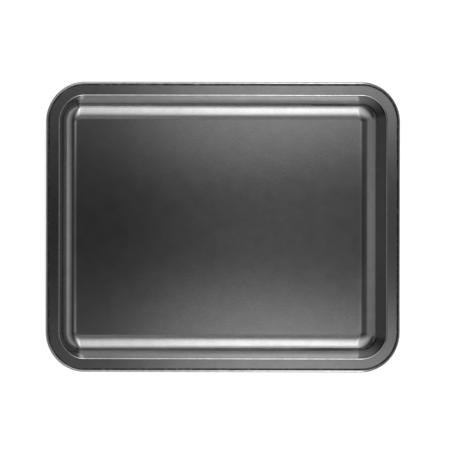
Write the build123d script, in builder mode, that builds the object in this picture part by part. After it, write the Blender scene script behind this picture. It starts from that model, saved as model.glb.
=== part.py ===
from build123d import *
import os
from math import acos, cos, degrees, radians, sin, tan

# A cookie sheet: a shallow rectangular baking tray with sloping walls, a flat flange all round
# and a wired edge. It is two pieces of steel. The pan is pressed from one sheet, and its outer
# edge is rolled over a round wire, which runs round the rim with its two ends butted together.
#
# Frame: millimetres, X along the long side, Y along the short side, Z up. The origin is in the
# middle of the underside, which is the flat face that the tray stands on.

os.makedirs("parts", exist_ok=True)

# Overall sizes, over the bead of the rim, and the thickness of the sheet steel
tray_length = 420.0
tray_width = 336.0
sheet = 0.8

# The well. Its depth runs from the baking surface up to the top of the flange, and the foot is
# the bend between the base and the wall. The wall's slope is in degrees from level.
well_depth = 25.0
wall_slope = 62.0
foot_radius = 21.5
base_corner_radius = 4.4

# The rim: the bend over the top of the wall, the flange, and the neck between flange and bead
lip_radius = 2.2
flange_width = 10.75
neck_radius = 0.5

# The wired edge. The wire's centre lies a little below the flange's top, so that the bead stands
# proud of it by less than half, and the sheet is rolled most of the way round the wire.
wire_diameter = 2.8
wire_clearance = 0.1
wire_drop = 1.8
curl_turn = 285.0
wire_end_gap = 2.0

# Heights, from the underside
flange_height = sheet + well_depth
wire_height = flange_height - wire_drop

# The bead that the sheet makes round the wire, and how far the neck turns up to meet it
bead_radius = wire_diameter / 2 + wire_clearance + sheet
neck_turn = degrees(acos((neck_radius + wire_drop) / (neck_radius + bead_radius)))

# Places across the rim, measured outwards from the upright axis that each corner turns about
turned_share = 1 - cos(radians(wall_slope))
wall_rise = well_depth - (foot_radius + lip_radius) * turned_share
foot_end_offset = base_corner_radius + foot_radius * sin(radians(wall_slope))
lip_end_offset = foot_end_offset + wall_rise / tan(radians(wall_slope))
lip_offset = lip_end_offset + lip_radius * sin(radians(wall_slope))
neck_offset = lip_offset + flange_width
wire_offset = neck_offset + (neck_radius + bead_radius) * sin(radians(neck_turn))
corner_radius = wire_offset + bead_radius

# The corners' axes, and the planes across the rim where the straight sides meet one corner
quarter_turn = 90
corner_x = tray_length / 2 - corner_radius
corner_y = tray_width / 2 - corner_radius
corner_axis = Axis((corner_x, corner_y, 0), (0, 0, 1))
across_right_side = Plane((corner_x, corner_y, 0), x_dir=(1, 0, 0), z_dir=(0, -1, 0))
across_back_side = Plane((corner_x, corner_y, 0), x_dir=(0, 1, 0), z_dir=(1, 0, 0))


def carried_round(section):
    """Carry a section round the rim: one corner and the half sides beside it, mirrored twice.

    The section's x runs outwards from the corner's axis and its y runs upwards.
    """
    with BuildPart() as rim:
        with BuildSketch(across_right_side):
            add(section)
        revolve(axis=corner_axis, revolution_arc=quarter_turn)
        with BuildSketch(across_right_side):
            add(section)
        extrude(amount=corner_y)
        with BuildSketch(across_back_side):
            add(section)
        extrude(amount=-corner_x)
        mirror(about=Plane.YZ)
        mirror(about=Plane.XZ)
    return rim.part


# Pan section: the upper face of the sheet from the corner's axis out to the free edge of the
# curl, given its thickness on the lower side
with BuildSketch() as pan_section:
    with BuildLine():
        Line((0, sheet), (base_corner_radius, sheet))
        foot = CenterArc(
            (base_corner_radius, sheet + foot_radius), foot_radius, -quarter_turn, wall_slope
        )
        lip = CenterArc(
            (lip_offset, flange_height - lip_radius),
            lip_radius,
            quarter_turn + wall_slope,
            -wall_slope,
        )
        Line(foot @ 1, lip @ 0)
        Line(lip @ 1, (neck_offset, flange_height))
        CenterArc(
            (neck_offset, flange_height + neck_radius), neck_radius, -quarter_turn, neck_turn
        )
        CenterArc((wire_offset, wire_height), bead_radius, quarter_turn + neck_turn, -curl_turn)
        offset(amount=sheet, side=Side.RIGHT)
    make_face()

# Wire section: a disc inside the curl
with BuildSketch() as wire_section:
    with Locations((wire_offset, wire_height)):
        Circle(wire_diameter / 2)

pan_rim = carried_round(pan_section.sketch)
wire_hoop = carried_round(wire_section.sketch)

# Pan: the flat base between the corners' axes, with the wall, flange and curl round it
with BuildPart() as tray_pan:
    with BuildSketch():
        Rectangle(2 * corner_x, 2 * corner_y)
    extrude(amount=sheet)
    add(pan_rim)
tray_pan.part.label = "tray_pan"
export_step(tray_pan.part, "parts/tray_pan.step")

# Rim wire: a hoop of round wire, cut at the middle of the back side, where its two ends butt
with BuildPart() as rim_wire:
    add(wire_hoop)
    with Locations((0, corner_y + wire_offset, wire_height)):
        Box(wire_end_gap, 2 * wire_diameter, 2 * wire_diameter, mode=Mode.SUBTRACT)
rim_wire.part.label = "rim_wire"
export_step(rim_wire.part, "parts/rim_wire.step")
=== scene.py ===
"""A cookie sheet, dressed for its portrait.

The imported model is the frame: a pan pressed from one sheet of steel, and the wire that the pan's
edge is rolled over. Each gets a finer mesh of the same section, carried round the same rim, with
the small unevenness that pressing and rolling leave, and a finish of its own.

Everything is in metres, with X along the long side, Y towards the back, and Z up.
"""

from __future__ import annotations

import logging
from dataclasses import dataclass, field, fields
from enum import Enum
from math import acos, cos, pi, radians, sin, tan

import bmesh
import bpy
import numpy as np
from mathutils import Matrix, Vector
from numpy.typing import NDArray

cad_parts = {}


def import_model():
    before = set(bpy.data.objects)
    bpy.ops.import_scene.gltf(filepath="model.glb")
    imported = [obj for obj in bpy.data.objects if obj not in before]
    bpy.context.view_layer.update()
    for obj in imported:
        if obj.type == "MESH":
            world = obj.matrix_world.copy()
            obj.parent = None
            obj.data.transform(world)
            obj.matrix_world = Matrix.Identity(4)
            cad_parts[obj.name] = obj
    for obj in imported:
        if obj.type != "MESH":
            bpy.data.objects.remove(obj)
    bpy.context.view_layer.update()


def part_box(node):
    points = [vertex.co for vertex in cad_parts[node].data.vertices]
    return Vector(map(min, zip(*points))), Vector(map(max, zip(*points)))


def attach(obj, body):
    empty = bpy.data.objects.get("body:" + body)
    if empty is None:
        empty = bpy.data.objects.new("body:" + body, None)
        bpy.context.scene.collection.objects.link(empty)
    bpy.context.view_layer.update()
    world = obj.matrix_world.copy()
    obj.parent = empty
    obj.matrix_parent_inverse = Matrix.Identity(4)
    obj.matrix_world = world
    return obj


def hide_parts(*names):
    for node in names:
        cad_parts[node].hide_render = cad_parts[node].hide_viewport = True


Array = NDArray[np.float64]
Faces = NDArray[np.int64]
Node = bpy.types.Node
Socket = bpy.types.NodeSocket
Triple = tuple[float, float, float]
Colour = tuple[float, float, float, float]

MM = 0.001
QUARTER = pi / 2

log = logging.getLogger("cookie_sheet")


class Zone(Enum):
    """The stretches of the sheet's section, from the middle of the base to the free edge."""

    BASE = "base"
    FOOT = "foot"
    WALL = "wall"
    LIP = "lip"
    FLANGE = "flange"
    NECK = "neck"
    BEAD = "bead"


class Mask(Enum):
    """The masks that the pan carries for its finish, each from nought to one over the surface."""

    CREST = "crest"
    GROOVE = "groove"
    BEND = "bend"
    HAZE = "haze"
    UNDER = "under"


# How many steps each stretch of the section is divided into.
STEPS = {
    Zone.BASE: 2,
    Zone.FOOT: 22,
    Zone.WALL: 4,
    Zone.LIP: 10,
    Zone.FLANGE: 20,
    Zone.NECK: 4,
    Zone.BEAD: 32,
}
# How far each stretch takes part in the puckers at the corners; the others don't.
PUCKERED = {Zone.NECK: 0.5, Zone.BEAD: 1.0}


# Sections and paths


@dataclass(frozen=True)
class Stretch:
    """One stretch of a section: a run of points and the normals of the upper face there."""

    zone: Zone
    points: Array
    normals: Array

    @property
    def share(self) -> Array:
        """How far along the stretch each point lies, from nought to one."""
        return np.linspace(0, 1, len(self.points))


def straight(zone: Zone, start: Array, end: Array) -> Stretch:
    """Divide a straight stretch evenly into its zone's steps.

    Args:
        zone: The part of the section that the stretch belongs to.
        start: Its first point, as offset and height.
        end: Its last point.

    Returns:
        The stretch, with normals on the left of its direction.
    """
    share = np.linspace(0, 1, STEPS[zone] + 1)[:, None]
    along = (end - start) / np.linalg.norm(end - start)
    normals = np.repeat([[-along[1], along[0]]], len(share), axis=0)
    return Stretch(zone, start + share * (end - start), normals)


def bend(zone: Zone, centre: Array, radius: float, start: float, turn: float) -> Stretch:
    """Divide a circular bend evenly: each point is the centre plus the radius along its angle.

    Args:
        zone: The part of the section that the bend belongs to.
        centre: The centre of the bend, as offset and height.
        radius: The radius of the upper face.
        start: The angle of the first point.
        turn: The angle turned through, positive when the bend turns upwards.

    Returns:
        The bend, with normals on the left of its direction.
    """
    angle = start + turn * np.linspace(0, 1, STEPS[zone] + 1)
    spokes = np.stack([np.cos(angle), np.sin(angle)], axis=1)
    return Stretch(zone, centre + radius * spokes, -np.sign(turn) * spokes)


@dataclass(frozen=True)
class SheetSection:
    """The pressed sheet, cut square across the rim.

    Offsets run outwards from the upright axis that a corner turns about, and heights run up from
    the underside of the base.
    """

    sheet: float = 0.8 * MM
    well_depth: float = 25.0 * MM
    wall_slope: float = radians(62)
    foot_radius: float = 21.5 * MM
    base_corner_radius: float = 4.4 * MM
    lip_radius: float = 2.2 * MM
    flange_width: float = 10.75 * MM
    neck_radius: float = 0.5 * MM
    wire_radius: float = 1.4 * MM
    wire_clearance: float = 0.1 * MM
    wire_drop: float = 1.8 * MM
    wire_end_gap: float = 2.0 * MM
    curl_turn: float = radians(285)

    @property
    def flange_height(self) -> float:
        """The height of the flange's top."""
        return self.sheet + self.well_depth

    @property
    def wire_height(self) -> float:
        """The height of the wire's centre."""
        return self.flange_height - self.wire_drop

    @property
    def bead_radius(self) -> float:
        """The outer radius of the rolled bead."""
        return self.wire_radius + self.wire_clearance + self.sheet

    @property
    def neck_turn(self) -> float:
        """How far the neck turns up from the flange before the bead takes over."""
        return acos((self.neck_radius + self.wire_drop) / (self.neck_radius + self.bead_radius))

    @property
    def lip_offset(self) -> float:
        """The offset at which the flange meets the bend over the wall."""
        turned = 1 - cos(self.wall_slope)
        rise = self.well_depth - (self.foot_radius + self.lip_radius) * turned
        bends = (self.foot_radius + self.lip_radius) * sin(self.wall_slope)
        return self.base_corner_radius + bends + rise / tan(self.wall_slope)

    @property
    def neck_offset(self) -> float:
        """The offset at which the flange ends and the neck begins."""
        return self.lip_offset + self.flange_width

    @property
    def wire_offset(self) -> float:
        """The offset of the wire's centre."""
        return self.neck_offset + (self.neck_radius + self.bead_radius) * sin(self.neck_turn)

    @property
    def corner_radius(self) -> float:
        """The outer radius of a corner, over the bead."""
        return self.wire_offset + self.bead_radius

    def stretches(self) -> list[Stretch]:
        """Lay out the upper face as straight stretches and bends that meet tangentially.

        Returns:
            The stretches in order, from the corner's axis to the free edge of the curl.
        """
        slope, top = self.wall_slope, self.flange_height
        foot_centre = np.array([self.base_corner_radius, self.sheet + self.foot_radius])
        lip_centre = np.array([self.lip_offset, top - self.lip_radius])
        neck_centre = np.array([self.neck_offset, top + self.neck_radius])
        wire_centre = np.array([self.wire_offset, self.wire_height])
        foot = bend(Zone.FOOT, foot_centre, self.foot_radius, -QUARTER, slope)
        lip = bend(Zone.LIP, lip_centre, self.lip_radius, QUARTER + slope, -slope)
        neck = bend(Zone.NECK, neck_centre, self.neck_radius, -QUARTER, self.neck_turn)
        bead_start = QUARTER + self.neck_turn
        bead = bend(Zone.BEAD, wire_centre, self.bead_radius, bead_start, -self.curl_turn)
        return [
            straight(Zone.BASE, np.array([0, self.sheet]), foot.points[0]),
            foot,
            straight(Zone.WALL, foot.points[-1], lip.points[0]),
            lip,
            straight(Zone.FLANGE, lip.points[-1], neck.points[0]),
            neck,
            bead,
        ]


@dataclass(frozen=True)
class RimPath:
    """The way round the rim, from the middle of the back side and anticlockwise from above.

    A station on it is an axis point, where a section's offsets start, and the direction in which
    they run. Along a side the axis point moves and the direction stays; round a corner the axis
    point stays and the direction turns.
    """

    corner_x: float
    corner_y: float
    radius: float
    side_steps: int = 40
    end_steps: int = 30
    corner_steps: int = 86

    @property
    def knots(self) -> Array:
        """The station numbers at which the sides and corners meet."""
        half = self.side_steps // 2
        ends = [self.corner_steps, self.end_steps]
        sides = [self.corner_steps, self.side_steps]
        return np.cumsum([0, half, *ends, *sides, *ends, self.corner_steps, half])

    @property
    def stations(self) -> Array:
        """The station numbers, once round, without the first one again."""
        return np.arange(self.knots[-1], dtype=float)

    @property
    def round_trip(self) -> float:
        """The length of the whole rim, at the path's radius."""
        return 4 * (self.corner_x + self.corner_y) + 4 * QUARTER * self.radius

    def lengths(self, stations: Array) -> Array:
        """Measure how far round the rim some stations lie, at the path's radius.

        Args:
            stations: Station numbers, whole or not.

        Returns:
            The lengths from the first station.
        """
        side, end = 2 * self.corner_x, 2 * self.corner_y
        corner = self.radius * QUARTER
        spans = [0, side / 2, corner, end, corner, side, corner, end, corner, side / 2]
        return np.interp(stations, self.knots, np.cumsum(spans))

    def corner_share(self, stations: Array) -> Array:
        """Count the share of the way round each corner, rising by one from corner to corner."""
        return np.interp(stations, self.knots, [0, 0, 1, 1, 2, 2, 3, 3, 4, 4])

    def place(self, stations: Array) -> tuple[Array, Array]:
        """Find the axis points and directions at some stations.

        Args:
            stations: Station numbers, whole or not.

        Returns:
            The axis points and the unit directions, each with a row per station.
        """
        x, y = self.corner_x, self.corner_y
        axis_x = np.interp(stations, self.knots, [0, -x, -x, -x, -x, x, x, x, x, 0])
        axis_y = np.interp(stations, self.knots, [y, y, y, -y, -y, -y, -y, y, y, y])
        turns = np.interp(stations, self.knots, [1, 1, 2, 2, 3, 3, 4, 4, 5, 5]) * QUARTER
        directions = np.stack([np.cos(turns), np.sin(turns)], axis=1)
        return np.stack([axis_x, axis_y], axis=1), directions

    def carry(self, stations: Array, offsets: Array, heights: Array) -> Array:
        """Carry a section round: each point is the axis point plus its offset along the direction.

        Args:
            stations: The stations to put the section at.
            offsets: The section's offsets, with a row per station or one row for all.
            heights: The section's heights, likewise.

        Returns:
            A grid of points, with a row per station and a column per section point.
        """
        axis, direction = self.place(stations)
        flat = axis[:, None, :] + direction[:, None, :] * np.atleast_2d(offsets)[..., None]
        up = np.broadcast_to(heights, flat.shape[:2])
        return np.concatenate([flat, up[..., None]], axis=2)


@dataclass(frozen=True)
class Ripple:
    """A sum of sines, each of which fits a whole number of times round the rim."""

    waves: tuple[int, ...]
    seed: int

    def over(self, path: RimPath) -> Array:
        """Add up the sines at each station, with seeded phases and strengths.

        Args:
            path: The way round the rim.

        Returns:
            The sum at each station, about one at its largest.
        """
        random = np.random.default_rng(self.seed)
        phases = random.uniform(0, 2 * pi, len(self.waves))
        strengths = random.uniform(0.5, 1.0, len(self.waves))
        share = path.lengths(path.stations) / path.round_trip
        turns = 2 * pi * np.outer(share, self.waves) + phases
        return np.sin(turns) @ strengths / strengths.sum()


# Meshes


def grid_faces(rows: int, columns: int, closed: bool) -> Faces:
    """Number the corners of the four-sided faces of a grid.

    Args:
        rows: The number of rows of points.
        columns: The number of points in a row.
        closed: Whether the last row joins the first.

    Returns:
        An array with four corner numbers for each face.
    """
    row = np.arange(rows if closed else rows - 1)[:, None]
    column = np.arange(columns - 1)[None, :]
    here, there = row * columns + column, (row + 1) % rows * columns + column
    return np.stack([here, there, there + 1, here + 1], axis=2).reshape(-1, 4)


@dataclass
class MeshParts:
    """Grids gathered for one mesh, with the masks that its finish reads."""

    points: list[Array] = field(default_factory=list)
    faces: list[Faces] = field(default_factory=list)
    masks: dict[Mask, list[Array]] = field(default_factory=dict)
    count: int = 0

    def add(self, grid: Array, closed: bool, masks: dict[Mask, Array]) -> None:
        """Add a grid of points.

        Args:
            grid: Points in rows and columns.
            closed: Whether the last row joins the first.
            masks: Values over the grid, by mask.
        """
        rows, columns = grid.shape[:2]
        self.points.append(grid.reshape(-1, 3))
        self.faces.append(grid_faces(rows, columns, closed) + self.count)
        for mask, values in masks.items():
            spread = np.broadcast_to(values, (rows, columns)).reshape(-1)
            self.masks.setdefault(mask, []).append(spread)
        self.count += rows * columns

    def build(self, name: str, weld: float = 0.001 * MM) -> bpy.types.Object:
        """Make one closed, smooth mesh object of the grids, at the origin.

        Args:
            name: The name of the object.
            weld: Points closer than this become one.

        Returns:
            The object, linked to the scene.
        """
        mesh = bpy.data.meshes.new(name)
        points, faces = np.concatenate(self.points), np.concatenate(self.faces)
        mesh.vertices.add(len(points))
        mesh.vertices.foreach_set("co", points.ravel())
        mesh.loops.add(faces.size)
        mesh.loops.foreach_set("vertex_index", faces.ravel())
        mesh.polygons.add(len(faces))
        mesh.polygons.foreach_set("loop_start", np.arange(0, faces.size, faces.shape[1]))
        mesh.update(calc_edges=True)
        for mask, values in self.masks.items():
            layer = mesh.attributes.new(mask.value, "FLOAT", "POINT")
            layer.data.foreach_set("value", np.concatenate(values))
        shape = bmesh.new()
        shape.from_mesh(mesh)
        bmesh.ops.remove_doubles(shape, verts=shape.verts, dist=weld)
        bmesh.ops.recalc_face_normals(shape, faces=shape.faces)
        shape.to_mesh(mesh)
        shape.free()
        mesh.shade_smooth()
        piece = bpy.data.objects.new(name, mesh)
        bpy.context.scene.collection.objects.link(piece)
        return piece


# Node trees


@dataclass
class Wiring:
    """A node tree being wired: it adds nodes, sets their inputs and links them.

    What an input gets is a socket to link, a mask to read, or a plain value.
    """

    tree: bpy.types.NodeTree

    def node(self, kind: str, **settings: object) -> Node:
        """Add a node.

        Args:
            kind: The end of its type's name, after ShaderNode.
            settings: The properties to set.

        Returns:
            The node.
        """
        made = self.tree.nodes.new("ShaderNode" + kind)
        for name, value in settings.items():
            setattr(made, name, value)
        return made

    def put(self, target: Socket, value: object) -> None:
        """Give an input what it gets.

        Args:
            target: The input.
            value: A socket, a mask or a plain value.
        """
        if isinstance(value, Mask):
            value = self.node("Attribute", attribute_name=value.value).outputs["Fac"]
        if isinstance(value, Socket):
            self.tree.links.new(value, target)
        else:
            target.default_value = value

    def feed(self, node: Node, **inputs: object) -> Node:
        """Give a node's inputs what they get, by name.

        Args:
            node: The node.
            inputs: What each input gets, with underscores for the spaces in its name.

        Returns:
            The node.
        """
        for name, value in inputs.items():
            self.put(node.inputs[name.replace("_", " ")], value)
        return node

    def fill(self, node: Node, *values: object) -> Socket:
        """Give a node's inputs what they get, in their order.

        Args:
            node: The node.
            values: What each of its first inputs gets.

        Returns:
            Its first output.
        """
        for target, value in zip(node.inputs, values):
            self.put(target, value)
        return node.outputs[0]

    def show(self, surface: Socket, output: str = "OutputMaterial") -> None:
        """Link a surface to an output of its own."""
        self.feed(self.node(output), Surface=surface)

    def math(self, operation: str, *values: object) -> Socket:
        """Calculate with sockets, masks or numbers."""
        return self.fill(self.node("Math", operation=operation), *values)

    def remap(
        self,
        value: object,
        low: object,
        high: object,
        to_low: object = 0.0,
        to_high: object = 1.0,
        ramp: str = "LINEAR",
    ) -> Socket:
        """Map a value from one range to another, held at its ends.

        Args:
            value: The value.
            low: Where its range starts.
            high: Where its range ends.
            to_low: What the start becomes.
            to_high: What the end becomes.
            ramp: The kind of ramp between the two.

        Returns:
            The mapped value.
        """
        made = self.node("MapRange", interpolation_type=ramp)
        self.feed(made, Value=value, From_Min=low, From_Max=high, To_Min=to_low, To_Max=to_high)
        return made.outputs["Result"]

    def noise(self, where: Socket, scale: object, detail: object = 2.0) -> Socket:
        """Read a noise pattern at a place."""
        made = self.node("TexNoise")
        return self.feed(made, Vector=where, Scale=scale, Detail=detail).outputs["Fac"]

    def stretched(self, where: Socket, stretch: Triple, turn: float = 0.0) -> Socket:
        """Turn a place about Z and stretch it, for a pattern with a direction."""
        made = self.node("Mapping", vector_type="TEXTURE")
        return self.fill(self.feed(made, Rotation=(0.0, 0.0, turn), Scale=stretch), where)

    def place(self) -> Socket:
        """Read the place on the piece, in metres."""
        return self.node("TexCoord").outputs["Object"]

    def position(self) -> list[Socket]:
        """Read the place in the studio as X, Y and Z, in metres."""
        where = self.node("NewGeometry").outputs["Position"]
        return list(self.feed(self.node("SeparateXYZ"), Vector=where).outputs)

    def bump(self, height: Socket, distance: float, under: Socket | None = None) -> Socket:
        """Raise a bump.

        Args:
            height: The height, from nought to one.
            distance: What a height of one is in metres.
            under: The bump that it lies on, if there is one.

        Returns:
            The normal.
        """
        made = self.feed(self.node("Bump"), Height=height, Distance=distance, Strength=1.0)
        if under is not None:
            self.put(made.inputs["Normal"], under)
        return made.outputs["Normal"]

    def shade(self, colour: Colour, tone: Socket) -> Socket:
        """Multiply a colour by a tone."""
        made = self.feed(self.node("VectorMath", operation="SCALE"), Scale=tone)
        return self.fill(made, colour[:3])

    def blend(self, share: Socket, first: object, second: object) -> Socket:
        """Blend two colours.

        Args:
            share: The share of the second.
            first: The colour at a share of nought.
            second: The colour at a share of one.

        Returns:
            The blended colour.
        """
        made = self.node("Mix", data_type="RGBA")
        for name, value in (("Factor_Float", share), ("A_Color", first), ("B_Color", second)):
            self.put(next(i for i in made.inputs if i.identifier == name), value)
        return next(o for o in made.outputs if o.identifier == "Result_Color")


def new_material(name: str) -> tuple[bpy.types.Material, Wiring]:
    """Start a material with nothing in its node tree.

    Args:
        name: The material's name.

    Returns:
        The material and its wiring.
    """
    material = bpy.data.materials.new(name)
    material.use_nodes = True
    material.node_tree.nodes.clear()
    return material, Wiring(material.node_tree)


# Surface effects

# The range that nearly all of a noise pattern lies in, and a narrower one with harder edges.
CLOUD_RANGE = (0.3, 0.7)
PATCH_RANGE = (0.35, 0.65)
PATCH_DETAIL = 4.0
# The clouds that break up hairlines: their scale against the lines', and where no gap is left.
GAP_SCALE = 0.37
GAP_CLOSED = 0.75


@dataclass(frozen=True)
class Effect:
    """A surface effect, with the values that a material gives it as its fields.

    Each kind of effect is one node group, which takes a Vector and the fields and puts out one
    Value. It is built the first time that the effect is used.
    """

    def wire(self, wiring: Wiring, given: dict[str, Socket]) -> Socket:
        """Wire the group from its inputs to its value."""
        raise NotImplementedError

    def group(self) -> bpy.types.NodeTree:
        """Find the node group of this kind of effect, or build it.

        Returns:
            The group.
        """
        kind = type(self).__name__.lower()
        if kind in bpy.data.node_groups:
            return bpy.data.node_groups[kind]
        tree = bpy.data.node_groups.new(kind, "ShaderNodeTree")
        names = [value.name.capitalize() for value in fields(self)]
        tree.interface.new_socket("Vector", in_out="INPUT", socket_type="NodeSocketVector")
        for name in names:
            tree.interface.new_socket(name, in_out="INPUT", socket_type="NodeSocketFloat")
        tree.interface.new_socket("Value", in_out="OUTPUT", socket_type="NodeSocketFloat")
        start, end = tree.nodes.new("NodeGroupInput"), tree.nodes.new("NodeGroupOutput")
        given = {name: start.outputs[name] for name in ("Vector", *names)}
        tree.links.new(self.wire(Wiring(tree), given), end.inputs["Value"])
        return tree

    def on(self, wiring: Wiring, place: Socket) -> Socket:
        """Use the effect in a material.

        Args:
            wiring: The material's wiring.
            place: The place that the pattern is read at.

        Returns:
            What the effect puts out.
        """
        made = wiring.node("Group", node_tree=self.group())
        values = {name.capitalize(): value for name, value in vars(self).items()}
        return wiring.feed(made, Vector=place, **values).outputs[0]


@dataclass(frozen=True)
class Mottle(Effect):
    """Soft clouds: noise spread between a low and a high value."""

    scale: float
    detail: float
    low: float
    high: float

    def wire(self, wiring: Wiring, given: dict[str, Socket]) -> Socket:
        """Spread the noise's range between the two values."""
        clouds = wiring.noise(given["Vector"], given["Scale"], given["Detail"])
        return wiring.remap(clouds, *CLOUD_RANGE, given["Low"], given["High"])


@dataclass(frozen=True)
class Flakes(Effect):
    """Fine flakes: each cell of a scattered grid gets one chance value between low and high."""

    scale: float
    low: float
    high: float

    def wire(self, wiring: Wiring, given: dict[str, Socket]) -> Socket:
        """Spread one channel of each cell's chance colour between the two values.

        Args:
            wiring: The group's wiring.
            given: The group's inputs, by name.

        Returns:
            The group's value.
        """
        cells = wiring.feed(
            wiring.node("TexVoronoi"), Vector=given["Vector"], Scale=given["Scale"]
        )
        split = wiring.feed(wiring.node("SeparateColor"), Color=cells.outputs["Color"])
        return wiring.remap(split.outputs["Red"], 0.0, 1.0, given["Low"], given["High"])


@dataclass(frozen=True)
class Hairlines(Effect):
    """Thin wandering lines where noise passes its middle, broken up by broader clouds."""

    scale: float
    width: float
    breaks: float

    def wire(self, wiring: Wiring, given: dict[str, Socket]) -> Socket:
        """Multiply the nearness of the noise to its middle by the clouds.

        Args:
            wiring: The group's wiring.
            given: The group's inputs, by name.

        Returns:
            The group's value.
        """
        hills = wiring.noise(given["Vector"], given["Scale"], 1.0)
        height = wiring.math("ABSOLUTE", wiring.math("SUBTRACT", hills, 0.5))
        line = wiring.remap(height, 0.0, given["Width"], 1.0, 0.0)
        gaps = wiring.noise(given["Vector"], wiring.math("MULTIPLY", given["Scale"], GAP_SCALE))
        return wiring.math("MULTIPLY", line, wiring.remap(gaps, given["Breaks"], GAP_CLOSED))


@dataclass(frozen=True)
class Patches(Effect):
    """Rubbed wear, or painted shade in a groove: a mask that clouds eat into, at most as strong as
    the amount.
    """

    mask: Mask
    scale: float
    amount: float

    def wire(self, wiring: Wiring, given: dict[str, Socket]) -> Socket:
        """Multiply the mask by the clouds and the amount.

        Args:
            wiring: The group's wiring.
            given: The group's inputs, by name.

        Returns:
            The group's value.
        """
        clouds = wiring.noise(given["Vector"], given["Scale"], PATCH_DETAIL)
        eaten = wiring.math("MULTIPLY", given["Mask"], wiring.remap(clouds, *PATCH_RANGE))
        return wiring.math("MULTIPLY", eaten, given["Amount"])


# Finishes


@dataclass(frozen=True)
class NonstickCoat:
    """A dark grey non-stick coating on steel: satin, faintly flaked, with a fine orange peel, and
    painted shade along the groove by the bead.

    The edge tint dims what the coat mirrors at a glance. Each mask adds its own roughness, and
    each set of scratches has a turn and a stretch.
    """

    colour: Colour = (0.36, 0.36, 0.36, 1.0)
    rubbed: Colour = (0.55, 0.55, 0.545, 1.0)
    # Painted shade: the near-black colour that the groove between flange and bead is darkened
    # towards, standing in for the shade in that crease.
    residue: Colour = (0.02, 0.02, 0.02, 1.0)
    edge_tint: Colour = (0.5, 0.5, 0.5, 1.0)
    clouds: Mottle = Mottle(scale=70.0, detail=4.0, low=0.96, high=1.04)
    flakes: Flakes = Flakes(scale=2600.0, low=0.88, high=1.12)
    rubbing: Patches = Patches(Mask.CREST, scale=160.0, amount=0.5)
    # Painted shade in the groove: clouds that vary it, and its level at the crease.
    dirt: Patches = Patches(Mask.GROOVE, scale=240.0, amount=0.3)
    groove_shade_level: float = 0.85
    roughness: float = 0.10
    dulling: Mottle = Mottle(scale=45.0, detail=5.0, low=-0.012, high=0.012)
    added_roughness: tuple[tuple[Mask, float], ...] = (
        (Mask.UNDER, 0.10),
        (Mask.GROOVE, 0.25),
        (Mask.BEND, 0.08),
        (Mask.HAZE, 0.20),
    )
    rubbed_polish: float = 0.05
    peel: Mottle = Mottle(scale=420.0, detail=2.0, low=0.0, high=1.0)
    peel_height: float = 0.004 * MM
    scratches: Hairlines = Hairlines(scale=55.0, width=0.012, breaks=0.5)
    scratch_sets: tuple[tuple[float, float], ...] = ((0.35, 9.0), (1.9, 6.0))
    scratches_above: float = 0.18
    scratches_under: float = 0.4
    scratch_depth: float = 0.002 * MM

    def scuffs(self, wiring: Wiring, place: Socket) -> Socket:
        """Cross the sets of scratches: faint on the baking surface, plainer underneath.

        Args:
            wiring: The material's wiring.
            place: The place on the piece.

        Returns:
            How scratched each place is.
        """
        level = wiring.remap(Mask.UNDER, 0.0, 1.0, self.scratches_above, self.scratches_under)
        sets = [
            self.scratches.on(wiring, wiring.stretched(place, (stretch, 1.0, 1.0), turn))
            for turn, stretch in self.scratch_sets
        ]
        return wiring.math("MULTIPLY", wiring.math("MAXIMUM", *sets), level)

    def material(self) -> bpy.types.Material:
        """Build the coating.

        Returns:
            The material.
        """
        material, wiring = new_material("nonstick_coat")
        place = wiring.place()
        rub, scuffs = self.rubbing.on(wiring, place), self.scuffs(wiring, place)
        tone = wiring.math("MULTIPLY", self.clouds.on(wiring, place), self.flakes.on(wiring, place))
        worn = wiring.math("MAXIMUM", rub, scuffs)
        bright = wiring.blend(worn, wiring.shade(self.colour, tone), self.rubbed)
        # Painted shade: the groove and the bead's inner half are darkened towards a near-black
        # colour, most at the crease, broken up by clouds.
        dirt = self.dirt.on(wiring, place)
        groove_shading = wiring.math("MULTIPLY_ADD", Mask.GROOVE, self.groove_shade_level, dirt)
        colour = wiring.blend(wiring.math("MINIMUM", groove_shading, 1.0), bright, self.residue)
        rough = wiring.math("ADD", self.dulling.on(wiring, place), self.roughness)
        for mask, added in self.added_roughness:
            rough = wiring.math("MULTIPLY_ADD", mask, added, rough)
        rough = wiring.math("MULTIPLY_ADD", rub, -self.rubbed_polish, rough)
        normal = wiring.bump(self.peel.on(wiring, place), self.peel_height)
        normal = wiring.bump(wiring.math("SUBTRACT", 1.0, scuffs), self.scratch_depth, normal)
        shader = wiring.feed(
            wiring.node("BsdfPrincipled"),
            Base_Color=colour,
            Metallic=1.0,
            Roughness=rough,
            Specular_Tint=self.edge_tint,
            Normal=normal,
        )
        wiring.show(shader.outputs["BSDF"])
        return material


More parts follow.
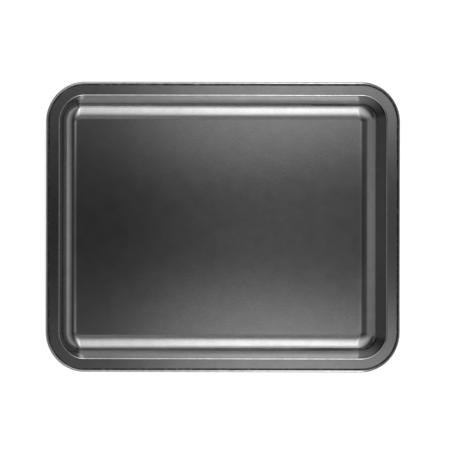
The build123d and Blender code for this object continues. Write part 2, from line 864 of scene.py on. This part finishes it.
@dataclass(frozen=True)
class DrawnSteel:
    """Plain drawn steel wire: dull bright, with fine lines and a little tarnish."""

    colour: Colour = (0.56, 0.57, 0.58, 1.0)
    tarnish: Colour = (0.30, 0.27, 0.24, 1.0)
    stain: Mottle = Mottle(scale=110.0, detail=5.0, low=-0.2, high=0.7)
    lines: Mottle = Mottle(scale=1800.0, detail=2.0, low=0.0, high=1.0)
    line_stretch: Triple = (60.0, 60.0, 1.0)
    line_height: float = 0.004 * MM
    line_roughness: float = 0.10
    grain: Flakes = Flakes(scale=1500.0, low=-0.04, high=0.04)
    roughness: float = 0.32

    def material(self) -> bpy.types.Material:
        """Build the wire's finish.

        Returns:
            The material.
        """
        material, wiring = new_material("drawn_steel")
        place = wiring.place()
        lines = self.lines.on(wiring, wiring.stretched(place, self.line_stretch))
        rough = wiring.math("MULTIPLY_ADD", lines, self.line_roughness, self.roughness)
        shader = wiring.feed(
            wiring.node("BsdfPrincipled"),
            Base_Color=wiring.blend(self.stain.on(wiring, place), self.colour, self.tarnish),
            Metallic=1.0,
            Roughness=wiring.math("ADD", rough, self.grain.on(wiring, place)),
            Normal=wiring.bump(lines, self.line_height),
        )
        wiring.show(shader.outputs["BSDF"])
        return material


# The tray's two pieces


@dataclass
class PressedPan:
    """The pan: base, foot, wall, lip, flange, neck and curl, pressed from one sheet."""

    section: SheetSection
    path: RimPath
    coat: NonstickCoat
    name: str = "pressed_pan"
    crown: float = 0.25 * MM
    sway: float = 0.18 * MM
    sway_ripple: Ripple = Ripple((3, 5, 9), seed=4)
    wall_wave: float = 0.06 * MM
    wall_ripple: Ripple = Ripple((21, 33, 46), seed=9)
    pucker: float = 0.05 * MM
    puckers_per_corner: int = 19
    groove_reach: float = 1.7 * MM
    groove_edge: float = 0.7 * MM
    groove_fade: float = 0.5 * MM
    bend_fade: float = 0.3
    haze_full: float = 0.05
    haze_end: float = 0.15
    edge_points: int = 5

    def crowned(self, grid: Array) -> Array:
        """Lift the base a little in its middle: a square of a parabola each way, nought outside.

        Args:
            grid: Points of either face.

        Returns:
            The same points, lifted.
        """
        reach = self.section.base_corner_radius
        half = np.array([self.path.corner_x + reach, self.path.corner_y + reach])
        inside = np.clip(1 - (grid[..., :2] / half) ** 2, 0, None)
        lifted = grid.copy()
        lifted[..., 2] += self.crown * np.prod(inside**2, axis=-1)
        return lifted

    def marks(self, stretch: Stretch) -> dict[Mask, Array]:
        """Mark a stretch of the upper face for the finish.

        The crests are the lip, and the bead where it faces up. The groove lies about the start of
        the neck, and reaches further over the bead than over the flange. The bend is the foot,
        with a fade as it leaves the base and one over the wall. The haze lies where the foot
        leaves the base, with a fade on either side.

        Args:
            stretch: The stretch.

        Returns:
            The masks at its points, but for the one of the underside.
        """
        share = stretch.share
        neck = np.array([self.section.neck_offset, self.section.flange_height])
        gap = stretch.points - neck
        reach = np.where(gap[:, 0] > 0, self.groove_reach, self.groove_edge)
        groove = np.clip((reach - np.linalg.norm(gap, axis=1)) / self.groove_fade, 0, 1)
        crests = {
            Zone.LIP: np.sin(pi * share),
            Zone.BEAD: np.clip(stretch.normals[:, 1], 0, 1) ** 2 * (share < 0.5),
        }
        bends = {Zone.FOOT: np.clip(share / self.bend_fade, 0, 1), Zone.WALL: 1 - share}
        hazes = {
            Zone.BASE: np.clip(2 * share - 1, 0, 1),
            Zone.FOOT: np.interp(share, (self.haze_full, self.haze_end), (1, 0)),
        }
        return {
            Mask.CREST: crests.get(stretch.zone, 0 * share),
            Mask.GROOVE: groove,
            Mask.BEND: bends.get(stretch.zone, 0 * share),
            Mask.HAZE: hazes.get(stretch.zone, 0 * share),
        }

    def loop(self) -> tuple[Array, Array, Array, dict[Mask, Array]]:
        """Go out along the upper face, round the free edge in a half circle, and back below.

        Returns:
            The loop's points, its outward normals, how far each point takes part in the puckers,
            and the masks.
        """
        stretches = self.section.stretches()
        upper = np.concatenate([stretch.points for stretch in stretches])
        normals = np.concatenate([stretch.normals for stretch in stretches])
        half, last = self.section.sheet / 2, normals[-1]
        turn = np.linspace(0, pi, self.edge_points + 2)[1:-1, None]
        spokes = np.cos(turn) * last + np.sin(turn) * np.array([last[1], -last[0]])
        edge = upper[-1] - half * last + half * spokes
        points = np.concatenate([upper, edge, (upper - 2 * half * normals)[::-1]])
        outward = np.concatenate([normals, spokes, -normals[::-1]])
        curled = np.concatenate([0 * s.share + PUCKERED.get(s.zone, 0.0) for s in stretches])
        nothing = np.zeros(self.edge_points)
        marked = [self.marks(stretch) for stretch in stretches]
        masks = {}
        for mask in marked[0]:
            face = np.concatenate([marks[mask] for marks in marked])
            masks[mask] = np.concatenate([face, nothing, 0 * face])
        masks[Mask.UNDER] = np.concatenate([0 * curled, 0.5 + nothing, 1 + 0 * curled])
        return points, outward, np.concatenate([curled, 1 + nothing, curled[::-1]]), masks

    def rim_grid(self) -> tuple[Array, dict[Mask, Array]]:
        """Carry the loop round the rim, with the unevenness of pressing and rolling.

        The rim sways inwards by a slow ripple that grows with height. The wall bulges by a
        quicker ripple times a sine of its height. At the corners the bead is drawn in by a row
        of puckers, one sine each, that fade out towards the sides. The haze is for the long
        sides, so its mask is times the square of the direction's Y.

        Returns:
            A grid with a row per station, and the masks.
        """
        points, outward, curled, masks = self.loop()
        stations = self.path.stations
        slow = self.sway_ripple.over(self.path)[:, None]
        quick = self.wall_ripple.over(self.path)[:, None]
        share = self.path.corner_share(stations)[:, None]
        row = 0.5 - 0.5 * np.cos(2 * pi * self.puckers_per_corner * share)
        height = np.clip(points[:, 1] / self.section.flange_height, 0, 1)
        inwards = self.sway * (0.5 + 0.5 * slow) * height**2
        bulge = self.wall_wave * quick * np.sin(pi * height) * (1 - curled)
        drawn = self.pucker * np.sin(pi * share) ** 2 * row * curled
        spoke = points - np.array([self.section.wire_offset, self.section.wire_height])
        spoke /= np.linalg.norm(spoke, axis=1, keepdims=True)
        offsets = points[:, 0] - inwards + bulge * np.abs(outward[:, 0]) - drawn * spoke[:, 0]
        heights = points[:, 1] - drawn * spoke[:, 1]
        masks[Mask.HAZE] = masks[Mask.HAZE] * self.path.place(stations)[1][:, 1:] ** 2
        return self.path.carry(stations, offsets, heights), masks

    def base_grid(self, height: float) -> Array:
        """Lay a flat grid between the four corner axes.

        Args:
            height: The height of the face.

        Returns:
            A grid whose edge points are the rim path's axis points.
        """
        x = np.linspace(-self.path.corner_x, self.path.corner_x, self.path.side_steps + 1)
        y = np.linspace(-self.path.corner_y, self.path.corner_y, self.path.end_steps + 1)
        return np.stack(np.meshgrid(x, y, [height], indexing="ij"), axis=-1)[:, :, 0, :]

    def build(self) -> bpy.types.Object:
        """Build the pan, ride it on the root body and stand it for the CAD pan.

        Returns:
            The finished piece.
        """
        parts = MeshParts()
        rim, masks = self.rim_grid()
        parts.add(self.crowned(rim), closed=True, masks=masks)
        for height, under in ((0.0, 1.0), (self.section.sheet, 0.0)):
            plain = {mask: np.zeros(1) for mask in Mask}
            plain[Mask.UNDER] += under
            parts.add(self.crowned(self.base_grid(height)), closed=False, masks=plain)
        piece = parts.build(self.name)
        piece.data.materials.append(self.coat.material())
        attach(piece, "root")
        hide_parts("tray_pan")
        return piece


@dataclass
class RimWire:
    """The wire in the curl: a round tube along the rim, from end to end at the back's middle."""

    section: SheetSection
    path: RimPath
    finish: DrawnSteel
    name: str = "hoop_wire"
    chamfer: float = 0.2 * MM
    sides: int = 20

    def build(self) -> bpy.types.Object:
        """Build the wire: circles about the rim's line, drawn in to a point at each end.

        Returns:
            The finished piece.
        """
        first = self.section.wire_end_gap / 2
        ends = np.array([0, 0, self.chamfer])
        length = self.path.round_trip
        marks = self.path.lengths(self.path.stations[1:])
        along = np.concatenate([first + ends, marks, length - first - ends[::-1]])
        knots = np.append(self.path.stations, self.path.knots[-1])
        stations = np.interp(along, self.path.lengths(knots), knots)
        radius = self.section.wire_radius * np.ones((len(along), 1))
        radius[[0, -1]] = 0
        radius[[1, -2]] -= self.chamfer
        angle = np.linspace(0, 2 * pi, self.sides + 1)
        offsets = self.section.wire_offset + radius * np.cos(angle)
        heights = self.section.wire_height + radius * np.sin(angle)
        parts = MeshParts()
        parts.add(self.path.carry(stations, offsets, heights), closed=False, masks={})
        piece = parts.build(self.name)
        piece.data.materials.append(self.finish.material())
        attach(piece, "root")
        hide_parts("rim_wire")
        return piece


# The studio

# Which way from the tray's middle a lamp hangs.
BACK = RIGHT = 1
FRONT = LEFT = -1


@dataclass(frozen=True)
class Window:
    """A smooth window over a distance: it opens over one stretch and closes over another."""

    start: float
    opened: float
    closing: float
    end: float

    @property
    def span(self) -> float:
        """The whole length of the window."""
        return self.end - self.start

    @property
    def middle(self) -> float:
        """The point halfway."""
        return (self.start + self.end) / 2

    def wire(self, wiring: Wiring, distance: Socket) -> Socket:
        """Multiply the opening by the closing, each a smooth step.

        Args:
            wiring: The lamp's wiring.
            distance: The distance to read the window at.

        Returns:
            How far the window is open there.
        """
        opening = wiring.remap(distance, self.start, self.opened, ramp="SMOOTHSTEP")
        closing = wiring.remap(distance, self.closing, self.end, 1.0, 0.0, ramp="SMOOTHSTEP")
        return wiring.math("MULTIPLY", opening, closing)


@dataclass(frozen=True)
class Cloth:
    """Where a lamp's cloth hangs: its middle, its turn about Y from facing down, and its size."""

    middle: Triple
    turn: float
    width: float
    height: float


@dataclass(frozen=True)
class GradedLamp:
    """A lamp behind a cloth, brightest where its two windows are open, unseen by the camera.

    The radiance is that of the open cloth, where one is the white of the floor.
    """

    name: str
    radiance: float

    def cloth(self) -> Cloth:
        """Place the cloth."""
        raise NotImplementedError

    def windows(self, wiring: Wiring, x: Socket, y: Socket, z: Socket) -> tuple[Socket, Socket]:
        """Read both windows at a place on the cloth."""
        raise NotImplementedError

    def build(self) -> bpy.types.Object:
        """Hang the lamp: the brightness is the product of its windows at each point.

        Returns:
            The lamp.
        """
        cloth = self.cloth()
        data = bpy.data.lights.new(self.name, "AREA")
        data.shape = "RECTANGLE"
        data.size, data.size_y = cloth.width, cloth.height
        data.energy = self.radiance * cloth.width * cloth.height * pi
        data.use_nodes = True
        data.node_tree.nodes.clear()
        wiring = Wiring(data.node_tree)
        strength = wiring.math("MULTIPLY", *self.windows(wiring, *wiring.position()))
        glow = wiring.feed(wiring.node("Emission"), Strength=strength)
        wiring.show(glow.outputs[0], "OutputLight")
        lamp = bpy.data.objects.new(self.name, data)
        lamp.location = cloth.middle
        lamp.rotation_euler = (0.0, cloth.turn, 0.0)
        lamp.visible_camera = False
        bpy.context.scene.collection.objects.link(lamp)
        return lamp


@dataclass(frozen=True)
class OverheadScrim(GradedLamp):
    """A level scrim over the back or the front of the tray.

    Its windows are along X and away from the tray's middle, and it leans to the right as it goes.
    """

    side: int
    height: float
    along: Window
    away: Window
    lean: float = 0.0

    def cloth(self) -> Cloth:
        """Place the cloth, wide enough for its lean.

        Returns:
            The cloth.
        """
        reach = self.lean * self.away.end
        low, high = self.along.start + min(0.0, reach), self.along.end + max(0.0, reach)
        middle = ((low + high) / 2, self.side * self.away.middle, self.height)
        return Cloth(middle, 0.0, high - low, self.away.span)

    def windows(self, wiring: Wiring, x: Socket, y: Socket, z: Socket) -> tuple[Socket, Socket]:
        """Read the windows along and away at a place on the cloth.

        Args:
            wiring: The lamp's wiring.
            x: The place along the tray.
            y: The place towards the back.
            z: The height, which isn't read.

        Returns:
            How far each window is open there.
        """
        away = wiring.math("MULTIPLY", y, float(self.side))
        along = wiring.math("MULTIPLY_ADD", away, -self.lean, x)
        return self.along.wire(wiring, along), self.away.wire(wiring, away)


@dataclass(frozen=True)
class SideScrim(GradedLamp):
    """An upright scrim to the left or the right of the tray, with windows across and up."""

    side: int
    distance: float
    across: Window
    upwards: Window

    def cloth(self) -> Cloth:
        """Place the cloth."""
        middle = (self.side * self.distance, 0.0, self.upwards.middle)
        return Cloth(middle, self.side * QUARTER, self.upwards.span, self.across.span)

    def windows(self, wiring: Wiring, x: Socket, y: Socket, z: Socket) -> tuple[Socket, Socket]:
        """Read the windows across and up at a place on the cloth."""
        return self.across.wire(wiring, y), self.upwards.wire(wiring, z)


@dataclass(frozen=True)
class PaleFloor:
    """A plain pale floor that reads white to the camera and still takes the tray's shadow."""

    half_width: float = 4.0
    height: float = -0.5 * MM
    colour: Colour = (0.8, 0.8, 0.8, 1.0)
    fibres: Mottle = Mottle(scale=9.0, detail=3.0, low=0.99, high=1.01)
    glow: float = 0.75

    def material(self) -> bpy.types.Material:
        """Build the floor's finish: matt paper that glows where it is seen or mirrored.

        Its underside is clear, so that the tray can be seen from below.

        Returns:
            The material.
        """
        material, wiring = new_material("pale_paper")
        tone = self.fibres.on(wiring, wiring.place())
        matt = wiring.feed(wiring.node("BsdfDiffuse"), Color=wiring.shade(self.colour, tone))
        ray = wiring.node("LightPath").outputs
        seen = wiring.math("MAXIMUM", ray["Is Camera Ray"], ray["Is Glossy Ray"])
        seen = wiring.math("MAXIMUM", seen, ray["Is Transmission Ray"])
        strength = wiring.math("MULTIPLY", seen, self.glow)
        glow = wiring.feed(wiring.node("Emission"), Strength=strength)
        upper = wiring.fill(wiring.node("AddShader"), matt.outputs[0], glow.outputs[0])
        lower = wiring.node("BsdfTransparent").outputs[0]
        behind = wiring.node("NewGeometry").outputs["Backfacing"]
        wiring.show(wiring.fill(wiring.node("MixShader"), behind, upper, lower))
        return material

    def build(self) -> bpy.types.Object:
        """Lay the floor just under the tray, as part of the stage.

        Returns:
            The floor.
        """
        w, z = self.half_width, self.height
        mesh = bpy.data.meshes.new("pale_floor")
        mesh.from_pydata([(-w, -w, z), (w, -w, z), (w, w, z), (-w, w, z)], [], [(0, 1, 2, 3)])
        mesh.materials.append(self.material())
        floor = bpy.data.objects.new("pale_floor", mesh)
        bpy.context.scene.collection.objects.link(floor)
        return floor


@dataclass(frozen=True)
class StudioAir:
    """The dim, even light that the walls and ceiling of the studio give back."""

    colour: Colour = (1.0, 1.0, 1.0, 1.0)
    strength: float = 0.045

    def build(self) -> bpy.types.World:
        """Fill the world with it.

        Returns:
            The world, set as the scene's.
        """
        world = bpy.data.worlds.new("studio_air")
        world.use_nodes = True
        air = world.node_tree.nodes["Background"]
        air.inputs["Color"].default_value = self.colour
        air.inputs["Strength"].default_value = self.strength
        bpy.context.scene.world = world
        return world


WIDE_ALONG = Window(-4.49, 7.51, 0.164, 0.321)
WIDE_AWAY = Window(-0.0205, 1.03, 6.9, 7)
WIDE_LEAN = 0.308
KEY_ALONG = Window(0.154, 0.453, -1.25, 0.855)
KEY_AWAY = Window(0.2, 0.85, 2.42, 3.02)
KEY_LEAN = 0.135
LEDGE_AWAY = Window(0.04, 0.17, 0.35, 0.8)
MIDDLE_AWAY = Window(-0.4, 0.0, 0.0, 0.4)
LEFT_ACROSS = Window(-0.744, 0.0, 0.0, 0.744)
LEFT_UP = Window(-0.05, 0.0, 2.7, 3)
RIGHT_ACROSS = Window(-3, -2.7, 2.7, 3)
RIGHT_UP = Window(-0.05, 0.0, 0.0, 2.09)
# Overhead lamps at one height hide each other, so each hangs a centimetre under the last. After
# the name come the radiance, the side, the height or distance, the two windows and the lean.
LAMPS = (
    OverheadScrim("back_scrim", 4.4, BACK, 1.42, WIDE_ALONG, WIDE_AWAY, WIDE_LEAN),
    OverheadScrim("front_scrim", 4.4, FRONT, 1.41, WIDE_ALONG, WIDE_AWAY, WIDE_LEAN),
    OverheadScrim("back_strip", 19.0, BACK, 1.4, KEY_ALONG, KEY_AWAY, KEY_LEAN),
    OverheadScrim("front_strip", 20.0, FRONT, 1.39, KEY_ALONG, KEY_AWAY, KEY_LEAN),
    OverheadScrim("back_ledge", 5.9, BACK, 1.38, KEY_ALONG, LEDGE_AWAY),
    OverheadScrim("front_ledge", 5.9, FRONT, 1.37, KEY_ALONG, LEDGE_AWAY),
    OverheadScrim("middle_scrim", 1.1, BACK, 1.36, KEY_ALONG, MIDDLE_AWAY),
    SideScrim("left_scrim", 0.32, LEFT, 1.5, LEFT_ACROSS, LEFT_UP),
    SideScrim("right_scrim", 0.62, RIGHT, 1.5, RIGHT_ACROSS, RIGHT_UP),
)


@dataclass(frozen=True)
class PhotoCamera:
    """A distant camera that looks down on the tray from a little to its left.

    The pixel places are those of the tray's outline in the photograph, which is 450 px square.
    """

    frame_px: float = 450.0
    rim_left_px: float = 45.6
    rim_right_px: float = 400.1
    rim_top_px: float = 82.0
    rim_bottom_px: float = 372.0
    tilt: float = radians(12.7)
    roll: float = radians(0.1)
    distance: float = 3.0

    def build(self, length: float, rim_height: float) -> bpy.types.Object:
        """Place the camera so that the rim fills its place in the frame.

        Args:
            length: The tray's length over the bead.
            rim_height: The height of the middle of the bead.

        Returns:
            The camera, set as the scene's.
        """
        scale = length * cos(self.tilt) / (self.rim_right_px - self.rim_left_px)
        right_px = self.frame_px / 2 - (self.rim_left_px + self.rim_right_px) / 2
        up_px = (self.rim_top_px + self.rim_bottom_px) / 2 - self.frame_px / 2
        flat_right = Vector((cos(self.tilt), 0, sin(self.tilt)))
        back = Vector((-sin(self.tilt), 0, cos(self.tilt)))
        turn = Matrix.Rotation(self.roll, 3, back)
        right, up = turn @ flat_right, turn @ Vector((0, 1, 0))
        aim = Vector((0, 0, rim_height)) + (right * right_px + up * up_px) * scale
        data = bpy.data.cameras.new("photo_camera")
        data.type = "ORTHO"
        data.ortho_scale = self.frame_px * scale
        camera = bpy.data.objects.new("photo_camera", data)
        camera.matrix_world = Matrix.Translation(aim + back * self.distance) @ Matrix(
            (right, up, back)
        ).transposed().to_4x4()
        bpy.context.scene.collection.objects.link(camera)
        bpy.context.scene.camera = camera
        return camera


def build_tray(section: SheetSection) -> None:
    """Build the pan and the wire on one rim path.

    Args:
        section: The sizes that the two share.
    """
    low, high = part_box("tray_pan")
    path = RimPath(
        corner_x=(high.x - low.x) / 2 - section.corner_radius,
        corner_y=(high.y - low.y) / 2 - section.corner_radius,
        radius=section.wire_offset,
    )
    for maker in (PressedPan(section, path, NonstickCoat()), RimWire(section, path, DrawnSteel())):
        piece = maker.build()
        log.info("%s: %d faces", piece.name, len(piece.data.polygons))


def build_studio(section: SheetSection) -> None:
    """Build the floor, the air, the lamps and the camera.

    Args:
        section: The sizes that set the height of the rim.
    """
    low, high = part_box("tray_pan")
    PaleFloor().build()
    StudioAir().build()
    for lamp in LAMPS:
        lamp.build()
        log.info("%s: radiance %.2f", lamp.name, lamp.radiance)
    PhotoCamera().build(high.x - low.x, section.wire_height)
    bpy.context.scene.view_settings.view_transform = "Standard"


def main() -> None:
    """Build the tray, its studio and its camera, and note the sizes."""
    logging.basicConfig(level=logging.INFO, format="%(message)s")
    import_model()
    section = SheetSection()
    build_tray(section)
    build_studio(section)


if __name__ == "__main__":
    main()
